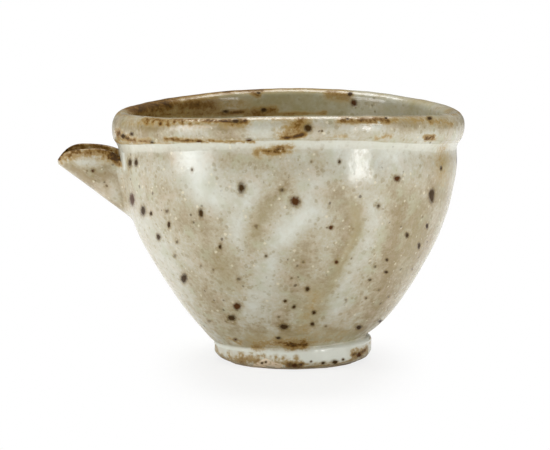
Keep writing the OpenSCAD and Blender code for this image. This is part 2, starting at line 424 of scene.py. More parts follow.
def under_roll(a, q):
    """The roll's face from its belly down to its lower edge, at turns q of a quarter."""
    _, belly, low = roll_heights(a)
    edge_r = COLLAR_R + ROLL_EDGE_W
    return edge_r + (roll_belly_r(a) - edge_r) * np.cos(q) ** ROLL_TAPER, belly - (belly - low) * np.sin(q)


def make_rim():
    a = angles_round(RIM_STEPS)
    crest, belly, low = roll_heights(a)
    q, up = quarter(ROLL_ROWS), np.linspace(0, 1, MOUTH_ROWS)[None, 1:-1]
    ones = np.ones_like(crest)
    r, z = joined([
        (ones * COLLAR_R, low),
        (ones * COLLAR_R, ones * WALL_TOP),
        (ones * MOUTH_R, ones * WALL_TOP),
        (ones * MOUTH_R + 0 * up, WALL_TOP + (crest - LIP_H - WALL_TOP) * up),
        (ones * CREST_R - (CREST_R - MOUTH_R) * np.cos(q), crest - LIP_H * (1 - np.sin(q))),
        (CREST_R + (roll_belly_r(a) - CREST_R) * np.sin(q), belly + (crest - belly) * np.cos(q)),
        under_roll(a, q),
    ])
    brown = rim_brown(a, r, z, crest, low)
    return ring_piece("rim_roll", a, r, z, brown=brown, outside=r > CREST_R - 0.4)


def rim_brown(a, r, z, crest, low):
    """Where glaze runs thin over the rim: along the crest, and along the lower edge near the spout."""
    over_crest = bump_at(z, crest, 1.3) * (0.62 + lumps(a, (0.55, 8, 8)))
    near_spout = rises(a, [(0.75, 222, 42)])[:, None]
    along_edge = bump_at(z, low + 0.5, 0.9) * fade(r, SHOULDER_R, SHOULDER_R + 0.8)
    along_edge = along_edge * (0.20 + near_spout + lumps(a, (0.30, 6, 9)))
    return np.clip(np.maximum(over_crest, along_edge), 0, 1)


def pale_under_rim(a, z):
    """How pale the side is under the roll, where the glaze that ran off it thins away."""
    return 0.5 * (1 - fade(roll_low_z(a) - z, 1.5, 4.5))


def make_rim_pool():
    """Glaze that leaves the roll a little above its lower edge and runs down onto the bowl's side."""
    a = angles_round(RIM_STEPS)
    low = roll_edge(a)
    height = RIM_POOL_H + lumps(a, (0.6, 11, 12), (0.3, 4, 13))
    wall_r = np.full_like(low, SHOULDER_R - 0.02)
    back_r, back_z = under_roll(a, np.linspace(np.pi / 2, POOL_LEAVES_ROLL, RIM_POOL_BACK_ROWS))
    leave_r, leave_z = under_roll(a, POOL_LEAVES_ROLL)
    face_r = bezier((leave_r + GLAZE_GAP, leave_r - 0.45, wall_r + 0.1, wall_r), RIM_POOL_FACE_ROWS)
    face_z = bezier((leave_z, leave_z - 0.6, low - 0.4 * height, low - height), RIM_POOL_FACE_ROWS)
    back = (back_r - GLAZE_GAP, back_z + GLAZE_GAP)
    r, z = joined([(wall_r, low + GLAZE_GAP), back, (face_r, face_z)])
    pool = np.maximum(0.6 * fade(z, low - height, low - 0.3 * height), pale_under_rim(a[:, None], z))
    return ring_piece("rim_glaze", a, r, z, pool=pool * (1 - fade(z, low - 0.2, low + 0.6)))


# The foot ring and the glaze gathered over it. Points of an edge are given as how far out and how far up.

FOOT_STEPS = 540
BEVEL_ROWS, FOOT_SIDE_ROWS, FOOT_TOP_ROWS = 14, 8, 10
REST_EDGE = [(-0.5, 0.0), (-0.15, 0.06), (0.15, 0.3)]
RECESS_EDGE = 0.3
RECESS_SIDE = [(-1.0, FOOT_H), (-0.6, FOOT_H / 2), (-0.05, 0.35)]
BEVEL_BOW = 0.55
FOOT_POOL_H = 0.9
FOOT_POOL_FACE_ROWS, FOOT_POOL_UNDER_ROWS = 20, 5


def foot_side(a):
    return FOOT_R - 0.15 + lumps(a, (0.22, 16, 21), (0.10, 5, 22))


def make_foot():
    a = angles_round(FOOT_STEPS)
    side = foot_side(a)
    rest_out = REST_OUTER_R + lumps(a, (0.45, 11, 23), (0.25, 3.5, 24))
    bevel_h = BEVEL_H + lumps(a, (0.5, 13, 25))
    ones = np.ones_like(side)
    out, up = [np.linspace(0, 1, count)[None, 1:] for count in (BEVEL_ROWS, FOOT_SIDE_ROWS)]
    bow = BEVEL_BOW * np.sin(np.pi * out)
    q = quarter(FOOT_TOP_ROWS)
    edge_out, edge_up = REST_EDGE[-1]
    edge_r = rest_out + edge_out
    r, z = joined([
        ((REST_INNER_R + RECESS_EDGE) * ones, 0 * ones),
        *[(rest_out + far, high * ones) for far, high in REST_EDGE],
        (edge_r + (side - edge_r) * out + bow, edge_up + (bevel_h - edge_up) * out - 0.6 * bow),
        (side + 0 * up, bevel_h + (FOOT_H - FOOT_TOP_ROUND - bevel_h) * up),
        (side - FOOT_TOP_ROUND * (1 - np.cos(q)), FOOT_H - FOOT_TOP_ROUND * (1 - np.sin(q)) + 0 * side),
        *[((REST_INNER_R + far) * ones, high * ones) for far, high in RECESS_SIDE],
    ])
    outside = fade(r, REST_INNER_R + 1, REST_INNER_R + 2)
    brown = (1 - fade(z, 0.6, 2.8 + lumps(a, (0.6, 6, 27)))) * outside
    bare = 1 - fade(z, 0.15, 0.8 + lumps(a, (0.5, 5, 26))) * outside
    return ring_piece("foot_turned", a, r, z, FOOT_SHIFT, brown=brown, bare=bare)


def from_foot_axis(r, a):
    """Distance from the foot's axis to a circle of radius r round the bowl's axis."""
    return np.sqrt(r ** 2 - (FOOT_SHIFT * np.sin(a)) ** 2) - FOOT_SHIFT * np.cos(a)


def make_foot_pool():
    """Glaze that hollows down from the bowl's side, over the ring's ledge, and thins over its edge."""
    a = angles_round(FOOT_STEPS)
    column = a[:, None]
    side = foot_side(a)
    height = FOOT_POOL_H + lumps(a, (0.3, 12, 31))
    root = from_foot_axis(bowl_r(FOOT_H), column) - 0.05
    middle = from_foot_axis(bowl_r(FOOT_H + height / 2), column) - 0.05
    top = from_foot_axis(bowl_r(FOOT_H + height), column) - GLAZE_GAP
    face_r = bezier((top, root + 0.15, side + 0.05, side + 0.02), FOOT_POOL_FACE_ROWS)
    face_z = FOOT_H + bezier((height, 0.1, 0.25, -1.1), FOOT_POOL_FACE_ROWS)
    q = quarter(FOOT_POOL_UNDER_ROWS)[None, ::-1]
    under_r = np.maximum(side - GLAZE_GAP - FOOT_TOP_ROUND * (1 - np.sin(q)), root)
    under_z = FOOT_H - GLAZE_GAP - FOOT_TOP_ROUND * (1 - np.cos(q)) + 0 * side
    back = [(root, np.full_like(root, FOOT_H - GLAZE_GAP)), (middle, FOOT_H + height / 2)]
    r, z = joined([*back, (face_r, face_z), (under_r, under_z)])
    return ring_piece("foot_glaze", a, r, z, FOOT_SHIFT, pool=fade(z, FOOT_H + height, FOOT_H - 0.6))


# The spout, a beak whose gutter narrows from the wall to the tip, and the clay that lutes it on

KEEL_ROOT_Z = SPOUT_EDGE_Z - SPOUT_DEPTH
TIP_EDGE_Z = SPOUT_EDGE_Z - TIP_DROP
NOSE = 0.25
FAR_LIFT, FAR_SAG = 0.5, 0.4
SPOUT_ROWS, GUTTER_STEPS, LIP_STEPS = 70, 61, 7
SPOUT_STATIONS = np.minimum(np.sin(np.linspace(0, np.pi / 2, SPOUT_ROWS)) ** 1.15, 0.999)
LIP_FULLNESS = 0.85
# The lute is a little narrower than the part's
LUTE_LEG = 2.0
LUTE_UNEVEN = 0.25
LUTE_CORNER_GAP = 0.15
LUTE_EDGE_GAP = 0.04
FILLET_HOLLOW = 0.12
LUTE_STEPS, FILLET_STEPS = 110, 13


def edge_z(u):
    arch = 1 - np.abs(2 * u ** ARCH_LEAN - 1) ** ARCH_FULLNESS
    return SPOUT_EDGE_Z + EDGE_ARCH * arch - TIP_DROP * u * u


def far_side(u, t):
    """How much higher the far edge was pulled than the near one: up near the tip, down near the wall."""
    return fade(t, 1.9, np.pi) * (FAR_LIFT * bump_at(u, 0.72, 0.22) - FAR_SAG * bump_at(u, 0.25, 0.2))


def keel_z(u):
    return KEEL_ROOT_Z * (1 - u) + (TIP_EDGE_Z - TIP_T - TIP_GUTTER) * u


def spout_half_w(u):
    return SPOUT_HALF_W * np.sqrt(1 - u * u) + TIP_HALF_W * u * u


def clay_t(u):
    return SPOUT_WALL * (1 - u) + TIP_T * u


def wall_x(y, z):
    return -np.sqrt(bowl_r(z) ** 2 - y * y)


def gutter_point(u, t, w, d, root_w, root_d):
    """A point of a gutter's skin: u runs from wall to tip, t from near edge to far edge under the keel."""
    root_x = wall_x(-root_w * np.cos(t), SPOUT_EDGE_Z - root_d * np.sin(t)) + 0.02
    reach = SPOUT_TIP_R - NOSE * np.cos(t) ** 2
    height = edge_z(u) - d * np.sin(t) + far_side(u, t)
    return np.stack([root_x * (1 - u) - reach * u, -w * np.cos(t), height], axis=-1)


def outer_point(u, t):
    return gutter_point(u, t, spout_half_w(u), edge_z(u) - keel_z(u), SPOUT_HALF_W, SPOUT_DEPTH)


def inner_point(u, t):
    w = spout_half_w(u) - clay_t(u) * (1 - u / 2)
    d = edge_z(u) - keel_z(u) - clay_t(u)
    return gutter_point(u, t, w, d, SPOUT_HALF_W - SPOUT_WALL, SPOUT_DEPTH - SPOUT_WALL)


def lip_points(u, t):
    """A rounded lip over the edge at t, from its outer corner to its inner one."""
    a, b = outer_point(u, t), inner_point(u, t)
    turn = np.linspace(0, np.pi, LIP_STEPS + 2)[1:-1, None]
    rise = LIP_FULLNESS * np.linalg.norm(b - a) / 2
    return (a + b) / 2 + (a - b) / 2 * np.cos(turn) + np.array([0, 0, rise]) * np.sin(turn)


def spout_section(u):
    """A closed loop: round the outside, over the far lip, back along the inside, over the near lip."""
    t = np.linspace(0, np.pi, GUTTER_STEPS)
    far, near = lip_points(u, np.pi), lip_points(u, 0.0)
    return np.concatenate([outer_point(u, t), far, inner_point(u, t[::-1]), near[::-1]])


def make_spout():
    rows = np.array([spout_section(u) for u in SPOUT_STATIONS])
    n, m = rows.shape[:2]
    points = rows.reshape(-1, 3)
    below_edge = np.repeat(edge_z(SPOUT_STATIONS), m) - points[:, 2]
    k, half_lip = np.arange(m), LIP_STEPS // 2
    within = (k > GUTTER_STEPS + half_lip) & (k < 2 * GUTTER_STEPS + LIP_STEPS + half_lip)
    inside = np.tile(within, n)
    ragged = wobbles(points, (0.9, 2.2, 14), (0.5, 0.8, 15))
    brown = np.where(inside, 0.6, 1 - fade(below_edge + ragged, -0.6, 1.2))
    return capped_piece("spout_beak", rows, brown=brown, inside=inside)


def make_lute():
    t = np.linspace(0.02, np.pi - 0.02, LUTE_STEPS)
    leg = LUTE_LEG * (1 + LUTE_UNEVEN * np.array([noise.noise(Vector((3.0 * k, 7.7, 1.3))) for k in t]))
    outward = np.stack([0 * t, np.cos(t), np.sin(t)], axis=1)
    corner = outer_point(0 * t, t) + LUTE_CORNER_GAP * (outward + np.array([1, 0, 0]))
    on_spout = outer_point(leg / (SPOUT_TIP_R - SHOULDER_R), t) + LUTE_EDGE_GAP * outward
    y = -(SPOUT_HALF_W + leg) * np.cos(t)
    z = SPOUT_EDGE_Z - (SPOUT_DEPTH + leg) * np.sin(t)
    on_wall = np.stack([wall_x(y, z) + LUTE_EDGE_GAP, y, z], axis=1)
    hollow = corner + FILLET_HOLLOW * (on_wall + on_spout - 2 * corner)
    v = np.linspace(0, 1, FILLET_STEPS)[None, :, None]
    face = (1 - v) ** 2 * on_wall[:, None] + 2 * v * (1 - v) * hollow[:, None] + v ** 2 * on_spout[:, None]
    return capped_piece("spout_root", np.concatenate([corner[:, None], face], axis=1))


# Pieces as objects in the scene

SHARP_EDGE = math.radians(55)


def in_scene(name, data):
    """A new object, linked to the scene."""
    made = bpy.data.objects.new(name, data)
    bpy.context.scene.collection.objects.link(made)
    return made


def face_outwards(mesh):
    shape = bmesh.new()
    shape.from_mesh(mesh)
    bmesh.ops.recalc_face_normals(shape, faces=shape.faces)
    shape.to_mesh(mesh)
    shape.free()


def draw(node, piece):
    mesh = bpy.data.meshes.new(piece.name)
    mesh.from_pydata((piece.points * MM).tolist(), [], piece.faces)
    face_outwards(mesh)
    mesh.polygons.foreach_set("use_smooth", np.ones(len(mesh.polygons), bool))
    mesh.set_sharp_from_angle(angle=SHARP_EDGE)
    normals = np.empty(3 * len(mesh.vertices), np.float32)
    mesh.vertex_normals.foreach_get("vector", normals)
    piece.normals = normals.reshape(-1, 3)
    piece.object = in_scene(piece.name, mesh)
    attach(piece.object, "root")
    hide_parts(node)


# Where the glaze differs, with a few painted highlights and painted shades among the marks. Places are
# pixels of the photograph's frame; the unseen sides come from the seed.

NO_SPOT = -2.0


def seen_at(points):
    """Pixels of the photograph at which points are seen."""
    ahead = (CAMERA_AIM - CAMERA_AT) / np.linalg.norm(CAMERA_AIM - CAMERA_AT)
    right = np.cross(ahead, [0, 0, 1])
    right /= np.linalg.norm(right)
    up = np.cross(right, ahead)
    away = points - CAMERA_AT
    k = FOCAL_PX / (away @ ahead)
    return np.stack([PHOTO_W / 2 + k * (away @ right), PHOTO_H / 2 - k * (away @ up)], axis=1)


def facing(piece):
    """How squarely each point faces the photograph's camera: 1 is square on, 0 edge on, negative behind."""
    to_camera = CAMERA_AT - piece.points
    to_camera /= np.linalg.norm(to_camera, axis=1)[:, None]
    return np.sum(piece.normals * to_camera, axis=1)


def in_front(piece):
    """1 where a piece is turned to the photograph's camera, 0 where it is turned away."""
    return fade(facing(piece), 0.02, 0.2)


def from_path(flat, path):
    """Distance of flat points from a path of straight stretches."""
    nearest = np.full(len(flat), np.inf)
    path = np.array(path, float)
    for start, end in zip(path[:-1], path[1:]):
        along = end - start
        t = np.clip((flat - start) @ along / (along @ along), 0, 1)
        nearest = np.minimum(nearest, np.linalg.norm(flat - start - t[:, None] * along, axis=1))
    return nearest


def strokes(flat, named, ragged):
    """The strongest of several soft strokes at each point, each a half width, a strength and a path."""
    field = np.zeros(len(flat))
    for half_width, strength, *path in named.values():
        distance = np.abs(from_path(flat, path) + ragged) / half_width
        field = np.maximum(field, strength * np.clip(1 - distance / 2, 0, 1) ** 1.2)
    return field


def spots(flat, named):
    """A cone over each oval spot: 1 in its middle, 0 on its edge, falling outside to no spot."""
    field = np.full(len(flat), NO_SPOT)
    for group in named.values():
        for x, y, half_w, half_h in group:
            field = np.maximum(field, 1 - np.hypot((flat[:, 0] - x) / half_w, (flat[:, 1] - y) / half_h))
    return field


def dabs(name, half_width, strength, start_y, ends):
    """A fringe of upright strokes side by side, all from one row of pixels to their own ends."""
    named = ["%s_%d" % (name, k) for k in range(len(ends))]
    return {key: (half_width, strength, (x, start_y), (x, y)) for key, (x, y) in zip(named, ends)}


WARM_STREAKS = {
    "middle": (11, 0.85, (338, 192), (350, 212), (350, 232), (339, 258), (326, 288), (312, 316), (300, 342)),
    "middle_right_edge": (4, 1.0, (358, 208), (358, 232), (347, 256), (334, 284), (318, 312)),
    "left_of_largest_spot": (9, 0.9, (286, 184), (270, 203), (258, 222), (256, 246)),
    "centre": (13, 0.75, (308, 246), (299, 270), (292, 298), (286, 332)),
    "left_side": (15, 0.75, (186, 220), (205, 232), (212, 252), (224, 270)),
    "low_left": (13, 0.6, (196, 282), (212, 304), (230, 324)),
    "right_side": (9, 0.7, (418, 213), (421, 236), (412, 256)),
    "low_right": (8, 0.65, (392, 262), (384, 285), (372, 316)),
    "right_shoulder": (8, 1.0, (442, 150), (443, 172), (438, 192)),
    "above_foot_left": (9, 0.8, (256, 328), (262, 348)),
    "above_foot_middle": (10, 0.95, (284, 326), (297, 346)),
    "above_foot_right": (7, 0.75, (330, 331), (362, 331)),
    "under_rim_middle": (5, 0.55, (317, 152), (319, 168)),
    "by_spout": (10, 0.45, (146, 186), (172, 194)),
    "below_rim_left": (7, 0.5, (138, 150), (170, 152)),
    "shoulder_middle": (9, 0.45, (232, 160), (262, 165)),
    "right_middle": (13, 0.5, (398, 196), (396, 226), (386, 256)),
}

# Streaks of thicker, paler glaze. The two shoulder streaks are partly paler glaze and partly painted
# highlights, where the lamps' highlights fall.
PALE_AND_HIGHLIT_STREAKS = {
    "left_shoulder_highlight": (12, 0.9, (196, 158), (198, 178), (214, 196)),
    "left_middle": (9, 0.8, (272, 262), (262, 285), (254, 310)),
    "beside_centre": (9, 0.9, (310, 212), (294, 230), (276, 243)),
    "right_of_middle": (10, 0.8, (354, 262), (344, 282), (334, 304)),
    "right_half": (12, 0.85, (378, 205), (374, 230), (366, 252)),
    # Partly paler glaze, partly painted highlights on the right shoulder.
    "right_shoulder": (15, 0.75, (338, 152), (366, 162), (398, 156)),
    "far_left": (6, 0.6, (146, 222), (166, 258), (190, 296)),
    "left_of_first_streak": (8, 0.7, (250, 190), (240, 214), (236, 240)),
    "around_largest_spot": (8, 0.6, (318, 180), (306, 200)),
}

OLIVE_STREAKS = {
    "middle_right_edge": (5, 0.7, (352, 204), (358, 220), (354, 240), (342, 264), (330, 288), (316, 314)),
    "left_of_largest_spot": (6, 0.5, (268, 206), (258, 222), (255, 238)),
    "low_centre": (10, 0.6, (318, 292), (306, 320), (298, 344)),
    "left_low": (9, 0.45, (222, 262), (232, 286)),
    "above_foot": (7, 0.7, (248, 340), (300, 342), (348, 335)),
    "above_foot_left": (5, 0.5, (222, 330), (240, 338)),
    "right_side": (7, 0.45, (420, 210), (416, 240), (402, 268)),
    "right_shoulder": (6, 0.6, (442, 148), (444, 172), (440, 196)),
}

# Milky patches of thick glaze, and painted highlights: the two patches on the right shoulder are painted
# highlights, and the first on the left shoulder is partly milky glaze, partly a painted highlight.
MILKY_AND_HIGHLIT_PATCHES = {
    "left_milky_highlight": (9, 0.75, (190, 152), (196, 170), (202, 192)),
    "left_cloud_foot": (6, 0.5, (202, 192), (222, 202)),
    "right_highlight": (8, 0.5, (352, 150), (354, 172)),
    "second_right_highlight": (6, 0.4, (384, 152), (398, 158)),
    "under_rim_left": (5, 0.5, (168, 146), (250, 148)),
    "beside_largest_spot": (7, 0.35, (304, 214), (286, 236)),
}

BROWN_MARKS = {
    "smear_under_rim": (3.4, 0.9, (265, 151.5), (283, 149.5)),
    "smear_edge": (5.0, 0.45, (258, 152.5), (290, 148.5)),
    "right_shoulder": (7, 0.3, (441, 150), (443, 180)),
    "above_foot": (6, 0.42, (256, 345), (284, 342)),
    "above_foot_rust": (5, 0.75, (287, 344), (305, 343)),
    "above_foot_right": (3, 0.3, (310, 343), (342, 338)),
    "above_foot_left": (2.5, 0.35, (228, 338), (240, 343)),
    "middle_edge": (6, 0.12, (356, 212), (355, 232), (347, 252), (338, 264)),
    "low_middle_edge": (9, 0.22, (316, 296), (308, 316), (300, 340)),
    "low_band": (9, 0.18, (252, 339), (300, 340), (344, 333)),
}

RIM_EDGE_MARKS = {
    "left": (2.2, 0.65, (119, 138.5), (134, 140.5), (150, 141)),
    "left_middle": (2.0, 0.75, (166, 139.3), (188, 140.3), (214, 141)),
    "left_end": (1.8, 0.55, (214, 141.3), (254, 142)),
    "right": (2.4, 0.3, (336, 137), (348, 136)),
    "far_right": (2.4, 0.35, (376, 138), (392, 136)),
    "wedge_foot": (1.8, 0.95, (282, 138), (294, 136.8), (305, 134)),
}

RIM_BROWN_MARKS = {
    **RIM_EDGE_MARKS,
    "crest_left": (3.0, 0.9, (206, 120), (222, 120.5), (246, 121)),
    "crest_far_left": (2.2, 0.6, (144, 120), (176, 119.5), (206, 120.5)),
    "below_crest_left": (4.5, 0.3, (168, 122), (206, 123.5), (248, 124)),
    "below_crest_far_left": (5, 0.22, (124, 124), (168, 123)),
    **dabs("fringe", 2.3, 0.75, 119.5, [
        (147, 123), (153, 121.5), (160, 123.5), (168, 125), (174, 122), (182, 123.5),
        (190, 124.5), (197, 122), (214, 122), (232, 124), (238, 122),
    ]),
    "crest_middle": (3, 0.3, (246, 119), (300, 118)),
    "wedge": (9, 0.5, (302, 118), (296, 128), (286, 134)),
    "corner_left": (3.4, 0.9, (119, 133), (123, 137), (134, 140)),
    "crest_right": (3.4, 0.75, (342, 120), (360, 120.5), (388, 120)),
    "below_crest_right": (4.5, 0.35, (340, 121), (384, 121)),
    "crest_far_right": (4, 0.35, (378, 119), (430, 120), (452, 124)),
    "notch_right": (2.2, 0.6, (428, 118), (431, 122)),
    "rust_mark": (2.6, 1.0, (426, 138.5), (433, 137.5)),
}

RIM_WARM_STREAKS = {
    "left": (9, 0.7, (122, 128), (160, 128), (240, 126)),
    "low_left": (5, 0.6, (130, 138), (240, 139)),
    "wedge": (9, 0.7, (284, 130), (302, 122)),
    "right_end": (7, 0.5, (396, 122), (452, 126)),
}

# Paler glaze on the roll, and one painted highlight.
RIM_PALE_AND_GLINT_STREAKS = {
    "left": (3.5, 0.7, (180, 131.5), (206, 133)),
    "middle": (7, 0.6, (252, 131), (276, 128)),
    # A painted highlight: the roll's glint under the lamps on the right.
    "right": (4, 0.9, (342, 125), (384, 124.5)),
    "low_right": (5, 0.5, (400, 136), (452, 136)),
}

INSIDE_BROWN_MARKS = {
    "left_end": (10, 0.95, (124, 113), (150, 106), (170, 103)),
    "left_end_fading": (11, 0.7, (166, 104), (186, 104), (212, 107)),
    "left_end_low": (5, 0.6, (132, 116), (196, 113)),
    "left_end_last": (9, 0.35, (206, 106), (244, 104)),
    "streak": (4.0, 0.6, (192, 114), (220, 113.5), (246, 112)),
    "streak_middle": (2.8, 0.95, (218, 114), (242, 112)),
    "second_streak": (4.5, 0.75, (254, 112), (274, 110)),
    "shaded_bottom_line": (2.4, 0.6, (244, 115), (326, 113)),
    # Painted shade: a dark line low on the far wall, just above the near crest.
    "right_patch": (6, 0.6, (330, 93), (346, 95)),
    "top_edge_left": (3.0, 0.9, (130, 108), (146, 102), (180, 96), (206, 92.5), (240, 90), (262, 89)),
    "dark_notch": (3, 0.7, (252, 92), (258, 95)),
    "top_edge_middle": (3.5, 0.45, (262, 89), (300, 88), (346, 89)),
}

FOOT_BROWN_MARKS = {
    "left_edge": (1.6, 0.5, (214.5, 344), (218, 353), (232, 363), (252, 367.5)),
    **dabs("drip", 2.8, 0.36, 363, [
        (222, 355), (229, 353), (236, 358), (241, 354), (247, 359), (251, 355),
        (258, 357), (263, 355), (270, 358), (276, 356), (283, 358), (296, 358),
    ]),
    "drips_foot": (4.5, 0.42, (226, 360), (250, 362), (286, 363)),
    "middle": (3.2, 1.0, (288, 365.5), (301, 365)),
    "right_of_middle": (2.0, 0.3, (306, 364.5), (332, 362.5)),
    "lower_edge": (1.4, 0.5, (300, 367.5), (336, 364.5), (352, 360)),
    "right_patch": (3.6, 0.75, (355, 355), (364, 351)),
    **dabs("right_fringe", 2.0, 0.5, 356, [(353, 352), (358, 350), (363, 350), (367, 347)]),
    "right_edge": (1.6, 0.5, (370.5, 336), (370.5, 344)),
}

# Where the foot is warmer and less pooled: the left streak is painted shade over the foot's left end, the
# right one a warm patch in the glaze.
FOOT_WARM_AND_SHADE_STREAKS = {
    # Painted shade on the foot's left end.
    "left": (9, 0.9, (214, 347), (226, 354), (240, 360)),
    "right": (5, 0.7, (352, 352), (368, 345)),
}

FOOT_BARE_MARKS = {
    "chip": (3.2, 1.0, (256, 366.5), (266, 362.5), (280, 366.5)),
    "worn_edge": (2.2, 0.6, (332, 364), (348, 360)),
}

SPOUT_BROWN_MARKS = {
    "lip": (4.2, 0.7, (66, 157), (80, 153), (92, 152), (104, 153), (116, 156)),
    **dabs("lip_dab", 2.2, 0.95, 151, [(80, 154), (85, 153), (91, 155), (97, 154), (103, 157), (109, 158)]),
    "lip_line": (2.0, 1.0, (88, 152), (104, 153.5), (119, 158)),
    "lip_to_tip": (2.0, 0.7, (61, 158), (68, 154.5), (76, 152)),
    "by_wall": (4.0, 1.0, (112, 157), (120, 161)),
    "below_lip": (4, 0.2, (70, 158), (90, 157), (112, 163)),
    "tip": (1.4, 0.5, (59, 160), (62, 163.5)),
}

SPOUT_WARM_STREAKS = {
    "keel": (4, 0.6, (68, 166), (84, 177), (100, 190)),
    "olive_patch": (3.5, 0.8, (105, 180), (107, 190)),
    "beside_spot": (4, 0.4, (84, 168), (100, 172)),
}

SPOUT_PALE_AND_GLINT_STREAKS = {
    "below_lip": (4, 0.7, (78, 162), (100, 163)),
    "by_root": (4, 0.8, (110, 182), (117, 198)),
    # A painted highlight: the glint at the tip.
    "tip": (3, 0.7, (62, 160), (68, 162)),
}

# Glaze pooled in the joint where the lute meets the wall, painted as pale as pooled glaze goes so that it
# also stands in for its highlight.
LUTE_POOL_AND_HIGHLIGHT_MARKS = {
    "crease": (1.5, 1.5, (122.5, 149), (123.5, 158), (124.5, 169)),
}

IRON_SPOTS = {
    "shoulder_left": [(241.5, 187.7, 3.4, 5.2), (201, 213, 2.3, 4)],
    "over_spout": [(130, 162.5, 1.8, 4.2), (136, 162.5, 1.8, 3.8)],
    "beside_spout": [(132, 199, 2.6, 6.3), (143, 211, 2.6, 5), (151, 213.5, 1.2, 2)],
    "left_edge": [(158.5, 237, 2.0, 3.0), (169, 225, 1.4, 3.0)],
    "left_low": [(184, 278.5, 3.0, 4.2), (220, 246.6, 1.8, 2.4)],
    "left_foot": [(237, 306.7, 3.8, 3.6), (231.5, 318, 4.0, 3.2)],
    "middle_high": [(295, 201.5, 4.2, 4.6), (339.4, 161.5, 1.7, 2.2)],
    "middle": [(331, 227.4, 2.2, 2.0), (336.5, 262, 1.9, 1.8)],
    "middle_low": [(307.6, 289, 2.2, 2.2), (294, 306.7, 2.2, 1.9), (285, 301, 1.7, 1.5)],
    "foot_middle": [(283.7, 326.8, 4.4, 2.7), (278.4, 338, 2.8, 1.4)],
    "foot_right": [(314, 312.7, 2.2, 2), (312.5, 324, 2.2, 2), (358.8, 327.5, 2.8, 2.2)],
    "right_high": [(397, 178.5, 3.2, 2.8), (431.5, 195.5, 3, 7), (441, 168, 1.2, 2.4)],
    "right": [(407, 235, 2, 3), (427, 226, 1.4, 3), (419, 246, 1.4, 3)],
    "right_low": [(387, 260, 1.6, 1.6), (386, 272, 2.0, 1.6), (380.6, 321.5, 2.6, 2)],
}

FAINT_SPOTS = {
    "left": [(167, 211, 3, 3), (177, 242, 2, 2.4), (175, 256, 2, 2.4)],
    "left_middle": [(201, 266, 2, 2.4), (213.5, 270, 2, 2.4)],
    "left_low": [(210, 321, 2.6, 1.6), (235.5, 339.5, 3, 2), (239, 279, 3.4, 3.4), (192, 170, 2, 3)],
    "middle": [(256, 226, 3, 2.6), (266, 256, 2.4, 2.6), (335, 219, 2, 2)],
    "middle_high": [(282, 190, 3.6, 4), (311, 162, 1.8, 2)],
    "middle_low": [(291.5, 278, 2, 2), (326, 326, 2, 1.6), (303, 262, 2, 2), (279, 317, 3, 2)],
    "right_high": [(378, 206, 3.8, 3.6), (352.7, 229, 2, 2)],
    "right": [(375, 267, 2.6, 2.6), (370, 280, 3, 2.4), (412, 269, 2, 2.6)],
    "right_low": [(379, 290, 2.2, 2.4), (388.5, 297, 2, 2), (346, 300, 2, 2), (366, 298, 2, 2)],
}

RUSTY_SPOTS = {
    "shoulder": [(132, 199, 4, 8), (295, 201.5, 6, 6), (397, 178.5, 6, 5)],
    "middle": [(256, 226, 6, 6), (331, 227.4, 6, 5)],
    "low": [(237, 306.7, 6, 6), (235.5, 339.5, 6, 4), (336.5, 262, 4, 4)],
}
FAINTNESS = 0.55

RIM_SPOTS = {
    "front": [(308, 128, 3.8, 3.6), (235.6, 121, 3, 2), (199, 142, 2.8, 1.8), (152, 142, 2, 1.8)],
    "left": [(123, 136, 2.2, 2.2), (132, 134, 2, 2), (249, 140, 3, 1.6)],
    "right": [(347.6, 119, 2, 1), (386, 118, 1.6, 1), (429.7, 118.3, 2.4, 1.8), (322, 131, 1, 1)],
}

INSIDE_SPOTS = {
    "middle": [(263.7, 110, 3, 2), (226, 111.6, 3, 1.6), (258.6, 93, 2, 1)],
    "right": [(354, 103, 3.0, 3.4), (350, 94, 2.4, 2.0)],
}

SPOUT_SPOTS = {
    "middle": [(92.8, 170.7, 2.4, 2.2), (87, 170.7, 1.0, 1.0)],
    "by_root": [(107, 186, 1.4, 1.2), (105, 173, 1.0, 1.3)],
}

FOOT_SPOTS = {
    "edge": [(294.5, 365.6, 2.6, 2), (335, 362, 2.6, 1.8), (343, 359.6, 1.4, 1.2), (323, 363, 1.8, 1.4)],
    "side": [(358.7, 355, 2.4, 2.4), (262, 363, 1.2, 1), (266, 362, 1, 1), (311, 361.6, 1.2, 1)],
}

rng = np.random.default_rng(SEED)


def ragged_px(points, amount):
    """How far, in pixels, the edge of a stroke strays at each point."""
    return amount * wobbles(points, (1.8, 8, 40), (1.4, 3.4, 41), (0.8, 1.3, 42))


def from_photo(piece, amount):
    """A piece's points, their pixels, how far edges stray there, and how much each faces the camera."""
    points = piece.points
    return points, seen_at(points), ragged_px(points, amount), in_front(piece)


def unrolled(points):
    """Arc length from the middle of the back, and height."""
    a = np.arctan2(points[:, 1], points[:, 0])
    return np.stack([SHOULDER_R * np.radians(angle_from(a, 90)), points[:, 2]], axis=1)


def random_streaks(count, low_z, high_z):
    """Streaks that run down a wall and a little aside, as poured glaze does, in unrolled millimetres."""
    named = {}
    for k in range(count):
        s, z = rng.uniform(-110, 110), rng.uniform(low_z, high_z)
        drift, length = rng.uniform(-0.7, 0.2), rng.uniform(14, 36)
        path = [(s + drift * t, z - t) for t in np.linspace(0, length, 4)]
        named["streak_%d" % k] = (rng.uniform(2.0, 5.0), rng.uniform(0.5, 1.0), *path)
    return named


def random_spots(points, count, largest):
    """Spots at points drawn from a piece, as a cone field in millimetres."""
    field = np.full(len(points), NO_SPOT)
    for middle in points[rng.choice(len(points), count)]:
        radius = largest * rng.uniform(0.25, 1.0) ** 2
        field = np.maximum(field, 1 - np.linalg.norm(points - middle, axis=1) / max(radius, 0.3))
    return field


# Shares that the painters use. Warm is how thin the glaze is, from pale to tan; in places it also carries
# painted highlights and painted shade.

